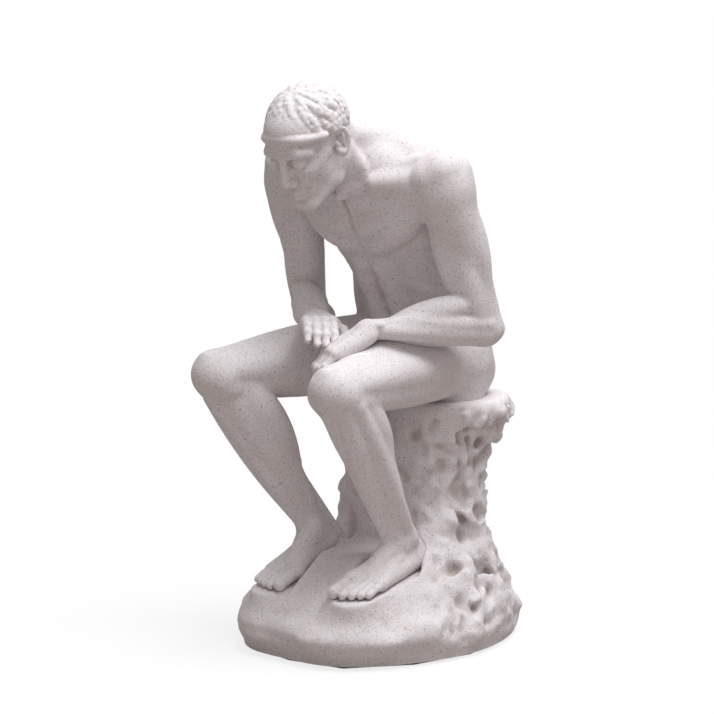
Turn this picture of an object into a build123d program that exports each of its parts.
"""A seated figure in thought on a rough rock: a table ornament cast in speckled stone resin.

The figure leans forward with its forearms on its thighs, the right hand laid over the left.
It is cast in sections, head, trunk, two arms and two legs, which are bonded on steel dowels, and
it sits on a rock that is cast hollow and closed below with a fibreboard disc and a felt pad.
The figure faces -Y and its left side is +X. The origin is the middle of the felt's underside.
"""

import os
from math import cos, radians, sin, tan

from build123d import *

os.makedirs("parts", exist_ok=True)

# Fits and overruns
joint_gap = 0.1  # radial clearance of a dowel in its hole, filled with adhesive
dowel_end_gap = 1.0  # room for adhesive at each end of a dowel
board_gap = 0.3  # clearance of the board in its ledge
overrun = 60.0  # how far a cutting tool runs past the solid that it cuts

# Rock: the ground slab and the block that the figure sits on
base_width = 116.0
base_depth = 136.0
band_height = 9.0  # plain band round the foot of the slab
shelf_height = 30.0  # where the sides of the slab turn in
crown_height = 44.0  # top of the ground at the foot of the block
seat_height = 112.0
block_width = 84.0
block_depth = 62.0
block_setback = 31.0  # the block's middle lies this far behind the middle of the base
cast_wall = 11.0
seat_wall = 14.0
slab_hollow = 14.0  # height of the hollow in the slab
board_ledge = 4.0
board_thickness = 3.0
felt_thickness = 1.5
felt_inset = 3.0

# Trunk, from the seat to the cut through the neck
trunk_rise = 117.0
trunk_reach = 47.0  # how far the neck lies ahead of the pelvis
pelvis_setback = 25.0
hip_breadth = 74.0
waist_breadth = 58.0
chest_breadth = 76.0
shoulder_cut = 36.0  # half the distance between the two cuts at the shoulders
pelvis_depth = 48.0
waist_depth = 38.0
chest_depth = 46.0
neck_breadth = 27.0
neck_lean = 48.0  # degrees the neck leans forward where it is cut

# Legs
hip_half_spacing = 19.0
hip_setback = 23.0
hip_joint_share = 0.22  # share of the thigh that is cast with the trunk
thigh_length = 92.0
thigh_breadth = 38.0
thigh_drop = 3.0  # degrees below level
knee_breadth = 26.0
shank_length = 90.0
calf_breadth = 26.0
ankle_breadth = 14.0
foot_length = 54.0
foot_breadth = 21.0
ankle_height = 14.5
foot_pitch = 9.0  # degrees, toes down
left_splay, right_splay = 8.0, 15.0  # degrees each knee opens from straight ahead
left_tuck, right_tuck = 4.0, 14.0  # degrees each shank leans towards the middle
left_lean, right_lean = 34.0, 31.0  # degrees each shank leans back under the thigh
left_toe_out, right_toe_out = 4.0, -9.0  # degrees each foot turns out

# Arms and hands
shoulder_half_spacing = 44.0
shoulder_height = 216.0
shoulder_setback = -11.0
upper_arm_length = 71.0
upper_arm_breadth = 22.0
deltoid_breadth = 28.0
elbow_breadth = 18.0
forearm_length = 55.0
forearm_breadth = 19.0
wrist_breadth = 12.5
wrist_depth = 9.5
palm_length = 20.0
palm_breadth = 17.0
palm_depth = 8.0
finger_length = 20.0
finger_breadth = 4.4
thumb_length = 17.0
elbow_out, elbow_back = 8.0, 16.0  # degrees the upper arm swings out and back from hanging
forearm_rise = 2.0  # degrees
left_reach, right_reach = 30.0, 46.0  # degrees each forearm turns in
left_droop, right_droop = 32.0, -1.0  # degrees each hand hangs below its forearm
left_curls, right_curls = (24, 38, 25), (10, 24, 20)  # degrees at each finger joint

# Head
head_height = 50.0
head_breadth = 33.0
head_length = 42.0
head_reach = 28.0  # the head's middle lies this far ahead of the cut through the neck
head_lift = 4.0
head_pitch = 34.0  # degrees the face looks down
hair_thickness = 1.6

# Dowels
seat_dowel_diameter, seat_dowel_length, seat_dowel_spacing = 6.0, 20.0, 32.0
limb_dowel_diameter, limb_dowel_length = 5.0, 20.0
foot_pin_diameter, foot_pin_length = 3.0, 22.0

up = Vector(0, 0, 1)
left = Vector(1, 0, 0)
ahead = Vector(0, -1, 0)
rock_foot = felt_thickness


def oval_loft(stations):
    """A solid through oval sections; a station is (middle, direction, side, breadth, depth)."""
    with BuildPart() as body:
        for middle, along, side, breadth, depth in stations:
            with BuildSketch(Plane(origin=middle, x_dir=side, z_dir=along)):
                Ellipse(breadth / 2, depth / 2)
        loft()
    return body.part


def domed(stations, start, end):
    """Rounds off a limb's ends with two smaller ovals each, as on a ball of that radius."""
    first, way_in, side, breadth, depth = stations[0]
    last, way_out, side_out, broad, deep = stations[-1]
    before, after = [], []
    for turn in (65, 35):
        back, across = sin(radians(turn)), cos(radians(turn))
        if start:
            before.append((first - way_in * start * back, way_in, side, breadth * across, depth * across))
        if end:
            after.insert(0, (last + way_out * end * back, way_out, side_out, broad * across, deep * across))
    return before + stations + after


def bar(middle, along, diameter, length):
    """A plain round bar about its middle."""
    with BuildPart(Plane(origin=middle, z_dir=along)) as rod:
        Cylinder(diameter / 2, length)
    return rod.part


def swell(start, end, radius):
    """A rounded muscle or bone between two points: half an oval turned about its long axis."""
    middle = (start + end) / 2
    along = (end - start).normalized()
    outward = along.cross(Vector(along.Y, along.Z, along.X)).normalized()
    half_length = (end - start).length / 2 + radius * swell_overlap_share
    with BuildPart() as body:
        with BuildSketch(Plane(origin=middle, x_dir=outward, z_dir=outward.cross(along))):
            Ellipse(radius, half_length)
            with Locations((-radius, 0)):
                Rectangle(2 * radius, 2 * half_length, mode=Mode.SUBTRACT)
        revolve(axis=Axis(middle, along))
    return body.part


def dowel_hole(middle, along, diameter, length):
    """The bored hole for a dowel, with room for adhesive all round."""
    return bar(middle, along, diameter + 2 * joint_gap, length + 2 * dowel_end_gap)


def half_space(origin, outward):
    """A block that fills the side of a cut that its direction points to."""
    with BuildPart(Plane(origin=origin, z_dir=outward)) as block:
        Box(4 * overrun, 4 * overrun, 2 * overrun, align=(Align.CENTER, Align.CENTER, Align.MIN))
    return block.part


def rock_level(breadth, depth, setback, height, shares):
    """One level of the hewn rock: a polygon with its corners at shares of an oval's radii."""
    corners = []
    for number, share in enumerate(shares):
        turn = radians(360 * number / len(shares))
        corners.append((breadth / 2 * share * cos(turn), setback + depth / 2 * share * sin(turn)))
    with BuildSketch(Plane.XY.offset(height)) as level:
        with BuildLine():
            Polyline(*corners, close=True)
        make_face()
    return level.sketch


# The skeleton: where each joint lies, worked out from the lengths and angles above
hip_height = seat_height + thigh_breadth / 2


def leg_line(side, splay, tuck, lean, toe_out):
    """Hip, knee and ankle of one leg, and the directions of its thigh, shank and foot."""
    hip = Vector(side * hip_half_spacing, hip_setback, hip_height)
    level = Vector(side * sin(radians(splay)), -cos(radians(splay)), 0)
    thigh = (level - up * tan(radians(thigh_drop))).normalized()
    knee = hip + thigh * thigh_length
    shank = Vector(-side * tan(radians(tuck)), tan(radians(lean)), -1).normalized()
    ankle = knee + shank * shank_length
    toes = Vector(side * sin(radians(toe_out)), -cos(radians(toe_out)), -tan(radians(foot_pitch)))
    return hip, knee, ankle, thigh, shank, toes.normalized()


def arm_line(side, reach):
    """Shoulder, elbow and wrist of one arm, and the directions of its upper arm and forearm."""
    shoulder = Vector(side * shoulder_half_spacing, shoulder_setback, shoulder_height)
    hang = Vector(side * tan(radians(elbow_out)), tan(radians(elbow_back)), -1).normalized()
    elbow = shoulder + hang * upper_arm_length
    turn = radians(reach)
    inward = Vector(-side * sin(turn), -cos(turn), tan(radians(forearm_rise))).normalized()
    return shoulder, elbow, elbow + inward * forearm_length, hang, inward


def make_finger(root, along, palm_normal, length, breadth, curls):
    """A tapering finger or toe of three bones that bends towards the palm at each joint."""
    side = along.cross(palm_normal).normalized()
    here, heading = root, along
    stations = [(root - along * breadth, along, breadth)]
    for share, curl in zip(bone_shares, curls):
        turned = heading.rotate(Axis((0, 0, 0), side), -curl)
        stations.append((here, (heading + turned).normalized(), breadth))
        heading = turned
        here = here + heading * length * share
        breadth = breadth * finger_taper_share
    stations.append((here - heading * breadth * 0.2, heading, breadth * 0.85))
    stations.append((here + heading * breadth * 0.2, heading, breadth * 0.45))
    with BuildPart() as finger:
        for middle, direction, across in stations:
            with BuildSketch(Plane(origin=middle, x_dir=side, z_dir=direction)):
                RegularPolygon(across / 2, finger_sides)
        loft(ruled=True)
    return finger.part


def make_hand(side, wrist, forearm, droop, curls):
    """Palm, four fingers and thumb, hanging from the wrist by the angle droop."""
    across = forearm.cross(up).normalized()
    along = forearm.rotate(Axis((0, 0, 0), across), -droop)
    back = across.cross(along).normalized()
    palm = oval_loft([
        (wrist + along * palm_length * share, along, across, breadth, depth)
        for share, breadth, depth in (
            (-0.12, wrist_breadth * 0.96, wrist_depth * 0.96),
            (0.35, palm_breadth * 0.92, palm_depth),
            (0.75, palm_breadth, palm_depth * 0.85),
            (1.05, palm_breadth * 0.9, palm_depth * 0.65),
        )
    ])
    fingers = []
    for number, share in enumerate(finger_shares):
        offset = side * (1.5 - number) * palm_breadth * 0.23
        root = wrist + along * palm_length + across * offset
        fingers.append(make_finger(root, along, back, finger_length * share, finger_breadth, curls))
    thumb_way = (along * 0.86 + across * side * 0.42 - back * 0.3).normalized()
    thumb_root = wrist + along * palm_length * 0.42 + across * side * palm_breadth * 0.42
    fingers.append(make_finger(thumb_root, thumb_way, back, thumb_length, thumb_breadth, thumb_curls))
    return palm, fingers


def make_foot(side, ankle, toes_way):
    """Heel, instep and five toes; the sole is cut flat afterwards."""
    across = toes_way.cross(up).normalized()
    sole_up = across.cross(toes_way).normalized()
    sole = ankle - sole_up * ankle_height
    arch = oval_loft([
        (sole + toes_way * foot_length * share + sole_up * depth * 0.46, toes_way, across, breadth, depth)
        for share, breadth, depth in (
            (-0.25, foot_breadth * 0.5, ankle_height * 0.7),
            (-0.14, foot_breadth * 0.66, ankle_height * 1.15),
            (0.06, foot_breadth * 0.72, ankle_height * 1.35),
            (0.28, foot_breadth * 0.86, ankle_height * 0.98),
            (0.48, foot_breadth, ankle_height * 0.62),
            (0.6, foot_breadth * 0.96, ankle_height * 0.46),
        )
    ])
    toes = []
    for number, share in enumerate(toe_shares):
        breadth = foot_breadth * share
        offset = side * foot_breadth * (0.34 - number * 0.185)
        start = sole + toes_way * foot_length * (0.585 - 0.022 * number) - across * offset
        length = foot_length * (0.19 - 0.018 * number)
        start = start + sole_up * breadth * 0.5
        toes.append(make_finger(start, toes_way, sole_up, length, breadth, toe_curls))
    return arch, toes, sole, sole_up


def make_leg(name, pose, arm):
    """Thigh, shank and foot as one casting, from its cut at the hip to its flat sole."""
    hip, knee, ankle, thigh, shank, toes_way = leg_line(*pose)
    side = pose[0]
    thigh_side = thigh.cross(up).normalized()
    cut = hip + thigh * thigh_length * hip_joint_share
    thigh_solid = oval_loft(domed([
        (hip + thigh * thigh_length * share, thigh, thigh_side, breadth, breadth)
        for share, breadth in (
            (hip_joint_share, thigh_breadth),
            (0.45, thigh_breadth * 0.97),
            (0.72, thigh_breadth * 0.84),
            (1.0, knee_breadth * 0.96),
        )
    ], 0, knee_breadth * 0.46))
    shank_solid = oval_loft(domed([
        (knee + shank * shank_length * share - ahead * bow, shank, left, breadth, depth)
        for share, bow, breadth, depth in (
            (0.02, 0, knee_breadth * 0.92, knee_breadth * 0.92),
            (0.3, calf_breadth * 0.12, calf_breadth, calf_breadth * 1.12),
            (0.62, calf_breadth * 0.06, calf_breadth * 0.74, calf_breadth * 0.84),
            (0.9, 0, ankle_breadth, ankle_breadth * 1.2),
            (1.06, 0, ankle_breadth * 1.1, ankle_breadth * 1.35),
        )
    ], knee_breadth * 0.46, 0))
    arch, toes, sole, sole_up = make_foot(side, ankle, toes_way)
    with BuildPart() as leg:
        add(thigh_solid)
        add(shank_solid)
        add(arch)
        for toe in toes:
            add(toe)
        add(half_space(sole, -sole_up), mode=Mode.SUBTRACT)
        add(under_seat, mode=Mode.SUBTRACT)
        add(dowel_hole(cut, thigh, limb_dowel_diameter, limb_dowel_length), mode=Mode.SUBTRACT)
        add(dowel_hole(sole, sole_up, foot_pin_diameter, foot_pin_length), mode=Mode.SUBTRACT)
        add(arm, mode=Mode.SUBTRACT)
    leg.part.label = name
    return leg.part


def make_arm(name, side, reach, droop, curls):
    """Upper arm, forearm and hand as one casting, from its flat cut at the shoulder."""
    shoulder, elbow, wrist, hang, forearm = arm_line(side, reach)
    cut = Vector(side * shoulder_cut, shoulder.Y, shoulder.Z)
    forearm_side = forearm.cross(up).normalized()
    upper = oval_loft(domed([
        (shoulder + hang * upper_arm_length * share, hang, left, breadth, depth)
        for share, breadth, depth in (
            (0.0, deltoid_breadth * 0.96, deltoid_breadth),
            (0.2, deltoid_breadth * 0.94, deltoid_breadth * 1.02),
            (0.42, upper_arm_breadth, upper_arm_breadth * 1.12),
            (0.7, upper_arm_breadth * 0.9, upper_arm_breadth * 1.04),
            (1.0, elbow_breadth * 0.92, elbow_breadth),
        )
    ], deltoid_breadth * 0.46, elbow_breadth * 0.46))
    lower = oval_loft(domed([
        (elbow + forearm * forearm_length * share, forearm, forearm_side, breadth, depth)
        for share, breadth, depth in (
            (0.0, elbow_breadth * 0.94, elbow_breadth * 0.96),
            (0.28, forearm_breadth, forearm_breadth * 0.94),
            (0.65, forearm_breadth * 0.8, forearm_breadth * 0.7),
            (1.0, wrist_breadth, wrist_depth),
        )
    ], elbow_breadth * 0.46, 0))
    palm, fingers = make_hand(side, wrist, forearm, droop, curls)
    inner_side = half_space(cut, left * -side) & half_space(shoulder + hang * upper_arm_length * 0.5, up)
    with BuildPart() as limb:
        add(upper)
        add(lower)
        add(palm)
        for finger in fingers:
            add(finger)
        add(inner_side, mode=Mode.SUBTRACT)
        add(dowel_hole(cut, left, limb_dowel_diameter, limb_dowel_length), mode=Mode.SUBTRACT)
    limb.part.label = name
    return limb.part


def trunk_section(rise):
    """Middle, lean, breadth and depth of the trunk at a share of its height, from its profile."""
    upper = next(number for number, row in enumerate(trunk_profile[1:], 1) if row[0] >= rise)
    low, high = trunk_profile[upper - 1], trunk_profile[upper]
    part = (rise - low[0]) / (high[0] - low[0])
    _, reach, lean, breadth, depth = (a + (b - a) * part for a, b in zip(low, high))
    middle = Vector(0, pelvis_setback, seat_height) + up * trunk_rise * rise + ahead * trunk_reach * reach
    return middle, lean, breadth, depth


def on_trunk(rise, across, fore):
    """A place in the trunk, by shares of half its breadth and half its depth there."""
    middle, lean, breadth, depth = trunk_section(rise)
    return middle + left * across * breadth / 2 + ahead.rotate(Axis.X, lean) * fore * depth / 2


def make_muscles():
    """Chest, shoulder blades, broad back, spine, belly, neck and buttocks, each on both sides."""
    muscles = []
    for side in (1, -1):
        for start, end, radius in trunk_muscle_shares:
            first, second = [on_trunk(rise, side * across, fore) for rise, across, fore in (start, end)]
            muscles.append(swell(first, second, chest_breadth * radius))
    return muscles


def make_trunk(arms):
    """Pelvis, belly, chest and the root of the neck, with its muscles and a stump for each thigh."""
    profile = []
    for rise, _, _, _, _ in trunk_profile:
        middle, lean, breadth, depth = trunk_section(rise)
        profile.append((middle, up.rotate(Axis.X, lean), left, breadth, depth))
    stumps = []
    for pose in leg_poses:
        hip, _, _, thigh, _, _ = leg_line(*pose)
        stumps.append((hip, thigh, oval_loft([
            (hip + thigh * thigh_length * share, thigh, thigh.cross(up).normalized(), breadth, breadth)
            for share, breadth in ((-0.05, thigh_breadth), (hip_joint_share, thigh_breadth))
        ])))
    girdle = oval_loft([
        (Vector(shoulder_cut * across, shoulder_setback, shoulder_height - deltoid_breadth * sink),
         left, ahead, deltoid_breadth * deep, deltoid_breadth * tall)
        for across, sink, deep, tall in (
            (-1.0, 0.16, 0.96, 1.2),
            (-0.55, 0.08, 1.24, 1.3),
            (0.0, 0.06, 1.36, 1.4),
            (0.55, 0.08, 1.24, 1.3),
            (1.0, 0.16, 0.96, 1.2),
        )
    ])
    with BuildPart() as trunk:
        add(oval_loft(profile))
        add(girdle)
        for muscle in make_muscles():
            add(muscle)
        for hip, thigh, stump in stumps:
            add(stump)
        for side, (hip, thigh, _) in zip((1, -1), stumps):
            cut = Vector(side * shoulder_cut, shoulder_setback, shoulder_height)
            beside = half_space(cut, left * side) & half_space(cut - up * upper_arm_length * 0.5, up)
            add(beside, mode=Mode.SUBTRACT)
            add(dowel_hole(hip + thigh * thigh_length * hip_joint_share, thigh,
                           limb_dowel_diameter, limb_dowel_length), mode=Mode.SUBTRACT)
            add(dowel_hole(cut, left, limb_dowel_diameter, limb_dowel_length), mode=Mode.SUBTRACT)
        for arm in arms:
            add(arm, mode=Mode.SUBTRACT)
        for place in seat_dowel_places:
            add(dowel_hole(place, up, seat_dowel_diameter, seat_dowel_length), mode=Mode.SUBTRACT)
        add(dowel_hole(neck_cut, neck_way, limb_dowel_diameter, limb_dowel_length), mode=Mode.SUBTRACT)
        add(half_space(neck_cut, neck_way), mode=Mode.SUBTRACT)
        add(under_seat, mode=Mode.SUBTRACT)
    trunk.part.label = "trunk"
    return trunk.part


def make_head():
    """Skull and jaw with nose, brow, ears and a close cap of hair, down to the cut in the neck."""
    middle = neck_cut + ahead * head_reach + up * head_lift
    face = Plane(origin=middle, x_dir=left, z_dir=up.rotate(Axis.X, head_pitch))

    def at(right, back, rise):
        return face.from_local_coords(Vector(right * head_breadth, back * head_length, rise * head_height))

    jaw = oval_loft([
        (at(0, back, rise), face.z_dir, left, head_breadth * broad, head_length * deep)
        for rise, back, broad, deep in (
            (-0.49, -0.26, 0.3, 0.2),
            (-0.44, -0.24, 0.48, 0.36),
            (-0.3, -0.16, 0.72, 0.54),
            (-0.12, -0.1, 0.84, 0.68),
            (0.04, -0.06, 0.88, 0.76),
            (0.16, -0.015, 0.9, 0.82),
        )
    ])
    skull_size = (head_breadth * 0.5, head_length * 0.49, head_height * 0.39)
    skull = Location(face) * Pos(0, head_length * 0.05, head_height * 0.1) * scale(Sphere(1), by=skull_size)
    hair_size = tuple(size + hair_thickness for size in skull_size)
    hair = Location(face) * Pos(0, head_length * 0.06, head_height * 0.1) * scale(Sphere(1), by=hair_size)
    hairline = half_space(at(0, -0.34, 0.28), -face.z_dir.rotate(Axis.X, -32))
    nose = oval_loft([
        (at(0, back, rise), face.z_dir, left, head_breadth * broad, head_length * deep)
        for rise, back, broad, deep in (
            (0.11, -0.385, 0.16, 0.12),
            (0.05, -0.4, 0.12, 0.13),
            (-0.08, -0.44, 0.15, 0.16),
            (-0.18, -0.46, 0.21, 0.17),
            (-0.21, -0.43, 0.18, 0.14),
        )
    ])
    ears = [
        Location(face) * Pos(side * head_breadth * 0.49, head_length * 0.04, 0)
        * scale(Sphere(1), by=(head_breadth * 0.05, head_length * 0.08, head_height * 0.11))
        for side in (1, -1)
    ]

    def egg(right, back, rise, wide, deep, tall):
        place = Pos(right * head_breadth, back * head_length, rise * head_height)
        size = (head_breadth * wide, head_length * deep, head_height * tall)
        return Location(face) * place * scale(Sphere(1), by=size)

    def ridge(half):
        """A bar across the face, from the rows of one half and their mirror image."""
        mirrored = [(-right, back, rise, -turn, *size) for right, back, rise, turn, *size in half[-2::-1]]
        return oval_loft([
            (at(right, back, rise), face.x_dir.rotate(Axis((0, 0, 0), face.z_dir), turn), face.z_dir,
             head_breadth * tall, head_breadth * deep)
            for right, back, rise, turn, tall, deep in half + mirrored
        ])

    features, sockets = [], []
    for side in (1, -1):
        for start, end, radius in face_feature_shares:
            first, second = [at(side * right, back, rise) for right, back, rise in (start, end)]
            features.append(swell(first, second, head_breadth * radius))
        sockets.append(egg(side * 0.19, -0.45, 0.015, 0.14, 0.085, 0.06))
        features.append(egg(side * 0.18, -0.318, 0.006, 0.115, 0.085, 0.058))
    muzzle = egg(0, -0.314, -0.29, 0.23, 0.152, 0.132)
    nape_hair = egg(0, 0.25, -0.07, 0.43, 0.262, 0.21)
    throat = at(0, 0.2, -0.22)
    neck = oval_loft([
        (neck_cut, neck_way, left, neck_breadth, neck_breadth),
        ((neck_cut + throat) / 2, (neck_way + (throat - neck_cut).normalized()).normalized(), left,
         neck_breadth * 0.94, neck_breadth * 0.98),
        (throat, (throat - neck_cut).normalized(), left, neck_breadth * 0.94, neck_breadth * 0.9),
    ])
    with BuildPart() as cap:
        add(hair)
        add(hairline, mode=Mode.SUBTRACT)
    with BuildPart() as head:
        add(skull)
        add(jaw)
        add(muzzle)
        for socket in sockets:
            add(socket, mode=Mode.SUBTRACT)
        for feature in features:
            add(feature)
        add(ridge(brow_shares))
        add(neck)
        add(cap.part)
        add(nape_hair)
        add(ridge(brim_shares))
        add(nose)
        for ear in ears:
            add(ear)
        add(dowel_hole(neck_cut, neck_way, limb_dowel_diameter, limb_dowel_length), mode=Mode.SUBTRACT)
    head.part.label = "head"
    return head.part


def make_rock():
    """The slab and the block as one hollow casting, cut for the feet, the dowels and the board."""
    slab_sections = [
        rock_level(base_width * share, base_depth * share, base_depth * shift, height, shares)
        for height, share, shift, shares in (
            (rock_foot, foot_share, 0, band_shares),
            (band_height, 1.0, 0, band_shares),
            (shelf_height, 1.0, 0.009, shelf_shares),
            (crown_height, 1.0, 0.068, crown_shares),
        )
    ]
    block_sections = [
        rock_level(block_width, block_depth, block_setback + block_depth * shift, seat_height * rise, shares)
        for rise, shift, shares in block_level_shares
    ]
    with BuildPart() as slab:
        add(slab_sections)
        loft(ruled=True)
    with BuildPart() as block:
        add(block_sections)
        loft(ruled=True)
    ledges = []
    for pose in leg_poses:
        _, _, ankle, _, _, toes_way = leg_line(*pose)
        _, _, sole, sole_up = make_foot(pose[0], ankle, toes_way)
        with BuildPart() as ledge:
            middle = sole + toes_way * foot_length * 0.27
            with BuildSketch(Plane(origin=middle, x_dir=toes_way, z_dir=sole_up)):
                SlotOverall(foot_length * 1.24, foot_breadth * 1.35)
            extrude(amount=ankle_height * 1.5)
        ledges.append((ledge.part, sole, sole_up))
    ramps = []
    for first, second, first_share, second_share in rock_ramp_shares:
        start, end = [
            Vector(block_width * right, block_setback + block_depth * back, seat_height * rise)
            for right, back, rise in (first, second)
        ]
        way = (end - start).normalized()
        first_radius, second_radius = block_width * first_share, block_width * second_share
        ramps.append(oval_loft(domed([
            (start, way, left, 2 * first_radius, 2 * first_radius),
            (end, way, left, 2 * second_radius, 2 * second_radius),
        ], first_radius, second_radius)))
    with BuildPart() as rock:
        add(slab.part)
        add(block.part)
        for ramp in ramps:
            add(ramp)
        for ledge, sole, sole_up in ledges:
            add(ledge, mode=Mode.SUBTRACT)
            add(dowel_hole(sole, sole_up, foot_pin_diameter, foot_pin_length), mode=Mode.SUBTRACT)
        with BuildSketch(Plane.XY.offset(rock_foot)):
            add(board_outline(0))
        extrude(amount=slab_hollow, mode=Mode.SUBTRACT)
        with BuildSketch(Plane.XY.offset(rock_foot)):
            add(board_outline(board_ledge))
        extrude(amount=board_thickness, mode=Mode.SUBTRACT)
        with BuildSketch(Plane.XY.offset(rock_foot)):
            with Locations((0, block_setback)):
                Ellipse(block_width * 0.4 - cast_wall, block_depth * 0.4 - cast_wall)
        extrude(amount=seat_height - seat_wall - rock_foot, mode=Mode.SUBTRACT)
        for place in seat_dowel_places:
            add(dowel_hole(place, up, seat_dowel_diameter, seat_dowel_length), mode=Mode.SUBTRACT)
    rock.part.label = "rock_pedestal"
    return rock.part


def board_outline(ledge):
    """The mouth of the hollow, or the board's outline where it is grown by the ledge."""
    with BuildSketch() as outline:
        Ellipse(base_width * 0.44 - cast_wall + ledge, base_depth * 0.44 - cast_wall + ledge)
    return outline.sketch


def make_base():
    """The board that closes the hollow, and the felt pad glued under board and rock."""
    with BuildPart() as board:
        with BuildSketch(Plane.XY.offset(rock_foot)):
            add(board_outline(board_ledge - board_gap))
        extrude(amount=board_thickness)
    board.part.label = "base_board"
    with BuildPart() as felt:
        felt_width = base_width * foot_share - 2 * felt_inset
        felt_depth = base_depth * foot_share - 2 * felt_inset
        add(rock_level(felt_width, felt_depth, 0, 0, band_shares))
        extrude(amount=felt_thickness)
    felt.part.label = "felt_pad"
    return board.part, felt.part


def make_group(name, bars):
    """Identical bars in one node, each its own solid."""
    return Compound(label=name, children=[bar(*each) for each in bars])


# Shapes in shares: the slab's foot, corners of the rock from +X towards the back, fingers and toes
foot_share = 0.965
band_shares = (1.0, 0.98, 1.03, 0.99, 1.02, 0.97, 1.0, 1.04, 1.06, 1.02, 1.1, 1.04)
shelf_shares = (0.9, 0.87, 0.93, 0.95, 0.96, 0.92, 0.93, 0.96, 1.0, 0.97, 1.04, 0.98)
crown_shares = (0.7, 0.66, 0.65, 0.67, 0.66, 0.69, 0.66, 0.7, 0.66, 0.67, 0.69, 0.67)
# Rows of the block: height as a share of the seat's, shift as a share of the depth, twelve corner shares
block_level_shares = (
    (0.215, -0.032, (1.0, 0.97, 1.02, 1.02, 1.06, 1.0, 1.02, 1.1, 1.22, 1.14, 1.12, 1.04)),
    (0.357, -0.048, (0.92, 0.86, 0.9, 0.93, 1.0, 0.99, 0.96, 1.02, 1.16, 1.1, 1.04, 0.97)),
    (0.482, -0.056, (0.85, 0.78, 0.84, 0.86, 0.97, 0.94, 0.86, 0.96, 1.12, 1.06, 0.95, 0.9)),
    (0.607, -0.056, (0.82, 0.74, 0.84, 0.92, 0.92, 0.86, 0.84, 0.95, 1.12, 1.07, 0.94, 0.84)),
    (0.732, -0.048, (0.78, 0.76, 0.9, 0.86, 0.93, 0.9, 0.82, 0.9, 1.08, 1.05, 0.96, 0.86)),
    (0.848, -0.024, (0.92, 0.92, 0.94, 0.98, 1.02, 0.92, 0.92, 0.96, 1.04, 1.04, 1.05, 0.97)),
    (0.92, 0.0, (1.0, 1.0, 1.08, 0.96, 1.1, 1.05, 0.97, 1.06, 1.08, 0.98, 1.1, 1.08)),
    (1.0, 0.0, (1.0, 1.02, 1.04, 0.99, 1.08, 1.07, 0.98, 1.05, 1.05, 0.94, 1.08, 1.06)),
)
# Rows of the ramps behind the heels, in shares of the block: start, end and their radii
rock_ramp_shares = (
    ((0.31, -0.548, 0.268), (0.238, -0.113, 0.509), 0.161, 0.107),
    ((-0.298, -0.548, 0.277), (-0.202, -0.113, 0.509), 0.149, 0.107),
)

# Rows of the trunk: shares of its rise and of its reach, lean in degrees, breadth and depth
trunk_profile = (
    (0.0, 0.0, 0, hip_breadth * 0.9, pelvis_depth * 0.94),
    (0.13, -0.03, 2, hip_breadth, pelvis_depth),
    (0.29, -0.02, 8, hip_breadth * 0.9, pelvis_depth * 0.86),
    (0.44, 0.08, 18, waist_breadth, waist_depth),
    (0.6, 0.3, 28, chest_breadth * 0.84, chest_depth * 0.9),
    (0.76, 0.56, 32, chest_breadth, chest_depth),
    (0.88, 0.78, 36, chest_breadth * 0.92, chest_depth * 0.84),
    (0.95, 0.92, 42, neck_breadth * 1.7, neck_breadth * 1.2),
    (1.0, 1.0, neck_lean, neck_breadth, neck_breadth),
)
# Rows of muscles: start and end as (rise, across, fore), and a radius in shares of the chest's breadth
trunk_muscle_shares = (
    ((0.7, 0.14, 0.62), (0.82, 0.8, 0.44), 0.164),  # chest
    ((0.86, 0.33, -0.56), (0.68, 0.42, -0.64), 0.145),  # shoulder blade and the muscle across it
    ((0.78, 0.42, -0.54), (0.85, 0.96, -0.3), 0.132),
    ((0.77, 0.86, -0.2), (0.5, 0.5, -0.42), 0.138),  # broad back
    ((0.12, 0.24, -0.68), (0.62, 0.22, -0.73), 0.138),  # beside the spine
    ((0.6, 0.21, 0.54), (0.29, 0.2, 0.54), 0.125),  # belly
    ((0.1, 0.44, -0.14), (0.22, 0.38, -0.18), 0.283),  # buttock
    ((0.97, 0.16, -0.3), (0.9, 0.9, -0.05), 0.132),  # from the nape to the shoulder
)
swell_overlap_share = 0.45  # how far a muscle runs past its two points, in shares of its radius

# Rows of the face: start and end as shares of the head's breadth, length and height, and a radius in breadths
face_feature_shares = (
    ((0.36, -0.13, -0.05), (0.2, -0.31, -0.115), 0.12),  # cheekbone
    ((-0.02, -0.447, -0.272), (0.1, -0.42, -0.285), 0.036),  # lips
    ((-0.02, -0.44, -0.32), (0.085, -0.415, -0.312), 0.042),
    ((-0.05, -0.36, -0.41), (0.08, -0.36, -0.41), 0.13),  # chin
)
# Rows of a ridge from one temple to the middle of the face: place, turn in degrees, height and depth
brow_shares = [
    (-0.4, -0.2, 0.105, -58, 0.12, 0.07),
    (-0.24, -0.345, 0.12, -28, 0.18, 0.1),
    (0.0, -0.402, 0.115, 0, 0.14, 0.09),
]
brim_shares = [
    (-0.48, -0.05, 0.16, -60, 0.12, 0.1),
    (-0.37, -0.24, 0.225, -40, 0.19, 0.13),
    (0.0, -0.365, 0.28, 0, 0.22, 0.15),
]
bone_shares = (0.45, 0.3, 0.25)
finger_shares = (0.92, 1.0, 0.97, 0.8)
finger_taper_share = 0.93
toe_shares = (0.3, 0.21, 0.2, 0.19, 0.18)
finger_sides = 8
thumb_breadth = 5.0
thumb_curls, toe_curls = (0, 12, 10), (0, 8, 8)

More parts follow.
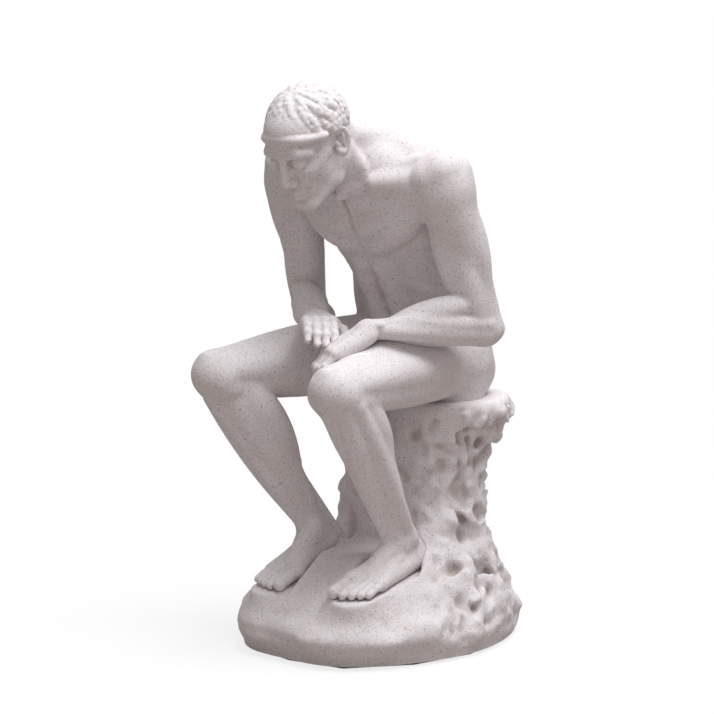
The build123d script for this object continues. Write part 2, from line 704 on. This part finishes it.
leg_poses = (
    (1, left_splay, left_tuck, left_lean, left_toe_out),
    (-1, right_splay, right_tuck, right_lean, right_toe_out),
)
arm_poses = ((1, left_reach, left_droop, left_curls), (-1, right_reach, right_droop, right_curls))
neck_cut = Vector(0, pelvis_setback - trunk_reach, seat_height + trunk_rise)
neck_way = up.rotate(Axis.X, neck_lean)
seat_dowel_places = [Vector(side * seat_dowel_spacing / 2, pelvis_setback, seat_height) for side in (1, -1)]
under_seat = half_space(Vector(0, 0, seat_height), -up) & half_space(Vector(0, 0, 0), -ahead)

left_arm = make_arm("left_arm", *arm_poses[0])
right_arm = make_arm("right_arm", *arm_poses[1]) - left_arm
right_arm.label = "right_arm"
left_leg = make_leg("left_leg", leg_poses[0], left_arm)
right_leg = make_leg("right_leg", leg_poses[1], right_arm)
trunk = make_trunk((left_arm, right_arm))
head = make_head()
rock = make_rock()
board, felt = make_base()

hip_dowels, shoulder_dowels, foot_pins = [], [], []
for pose in leg_poses:
    hip, _, ankle, thigh, _, toes_way = leg_line(*pose)
    side = pose[0]
    _, _, sole, sole_up = make_foot(side, ankle, toes_way)
    hip_cut = hip + thigh * thigh_length * hip_joint_share
    hip_dowels.append((hip_cut, thigh, limb_dowel_diameter, limb_dowel_length))
    shoulder_dowels.append((Vector(side * shoulder_cut, shoulder_setback, shoulder_height), left,
                            limb_dowel_diameter, limb_dowel_length))
    foot_pins.append((sole, sole_up, foot_pin_diameter, foot_pin_length))
seat_dowels = [(place, up, seat_dowel_diameter, seat_dowel_length) for place in seat_dowel_places]
neck_dowel = [(neck_cut, neck_way, limb_dowel_diameter, limb_dowel_length)]

pieces = [
    left_arm, right_arm, left_leg, right_leg, trunk, head, rock, board, felt,
    make_group("hip_dowels", hip_dowels),
    make_group("shoulder_dowels", shoulder_dowels),
    make_group("foot_pins", foot_pins),
    make_group("seat_dowels", seat_dowels),
    make_group("neck_dowel", neck_dowel),
]
for piece in pieces:
    solids = piece.solids()
    print(piece.label, round(sum(solid.volume for solid in solids)), "mm3", len(solids), "solids")
    export_step(piece, f"parts/{piece.label}.step")
